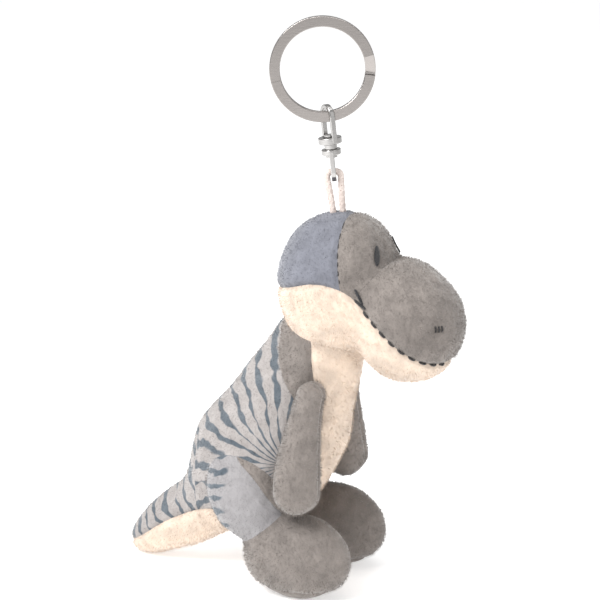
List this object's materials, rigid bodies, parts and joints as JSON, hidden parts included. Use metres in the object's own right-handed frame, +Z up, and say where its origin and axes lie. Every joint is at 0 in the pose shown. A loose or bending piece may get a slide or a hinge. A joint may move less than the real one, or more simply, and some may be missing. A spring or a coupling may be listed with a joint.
{
  "type": "plush keychain",
  "caption": "Small stuffed dinosaur hanging from a split key ring by a riveted swivel and a sewn cord loop.",
  "frame": {"origin": "the top of the split ring's inner edge, where the ring hangs from a hook", "axes": "+Z up, -Y where the nose points, -X the toy's right side"},
  "size_m": [0.0478, 0.0998, 0.1569],
  "materials": {
    "cord": "matte",
    "fibrefill": "matte",
    "nickel": "polished",
    "nickel_swivel": "polished",
    "plush_cream": "matte",
    "plush_grey": "matte",
    "plush_striped": "matte",
    "thread": "matte",
    "velour_blue_grey": "matte"
  },
  "bodies": {
    "ring": {"split_ring": "nickel"},
    "bail": {"upper_bail": "nickel_swivel", "swivel_rivet": "nickel_swivel"},
    "swivel": {"lower_bail": "nickel_swivel"},
    "loop": {"cord_loop": "cord"},
    "arm_right": {"arm_inner_panel_right": "plush_grey", "arm_outer_panel_right": "plush_grey", "arm_stuffing_right": "fibrefill"},
    "arm_left": {"arm_inner_panel_left": "plush_grey", "arm_outer_panel_left": "plush_grey", "arm_stuffing_left": "fibrefill"},
    "plush": {"back_panel": "plush_striped", "belly_panel": "plush_cream", "body_stuffing": "fibrefill", "cord_ends": "cord", "eye_left": "thread", "eye_right": "thread", "foot_stuffing_left": "fibrefill", "foot_stuffing_right": "fibrefill", "foot_upper_panel_left": "plush_grey", "foot_upper_panel_right": "plush_grey", "head_brow_panel": "plush_grey", "head_crown_panel": "velour_blue_grey", "head_stuffing": "fibrefill", "jaw_panel": "plush_cream", "leg_stuffing_left": "fibrefill", "leg_stuffing_right": "fibrefill", "mouth_corner_stitches": "thread", "mouth_stitches": "thread", "muzzle_panel": "plush_grey", "nostril_stitches": "thread", "shoulder_gusset_left": "plush_grey", "shoulder_gusset_right": "plush_grey", "sole_panel_left": "plush_grey", "sole_panel_right": "plush_grey", "tail_stuffing": "fibrefill", "tail_underside_panel": "plush_cream", "thigh_front_panel_left": "plush_grey", "thigh_front_panel_right": "plush_grey", "thigh_outer_panel_left": "velour_blue_grey", "thigh_outer_panel_right": "velour_blue_grey"}
  },
  "joints": [
    {"name": "ring_swing", "type": "hinge", "parent": "ring", "child": "bail", "pos_m": [0.00096, -0.00238, -0.02366], "axis": [0.7294, -0.6771, 0.0979], "range_deg": [-70, 70]},
    {"name": "swivel_spin", "type": "hinge", "parent": "bail", "child": "swivel", "pos_m": [0.00129, -0.00318, -0.03161], "axis": [-0.0405, 0.1001, 0.9942], "continuous": true},
    {"name": "loop_swing", "type": "hinge", "parent": "swivel", "child": "loop", "pos_m": [0.00166, -0.0041, -0.04066], "axis": [0.9272, 0.3746, 0], "range_deg": [-50, 50]},
    {"name": "loop_flex", "type": "hinge", "parent": "loop", "child": "plush", "pos_m": [0.00197, -0.00488, -0.04841], "axis": [0.3724, -0.9218, 0.108], "range_deg": [-30, 30]},
    {"name": "shoulder_right", "type": "hinge", "parent": "plush", "child": "arm_right", "pos_m": [-0.01517, -0.00272, -0.09701], "axis": [-1, 0, 0], "range_deg": [0, 75]},
    {"name": "shoulder_left", "type": "hinge", "parent": "plush", "child": "arm_left", "pos_m": [0.01923, -0.00272, -0.09701], "axis": [-1, 0, 0], "range_deg": [0, 75]}
  ]
}
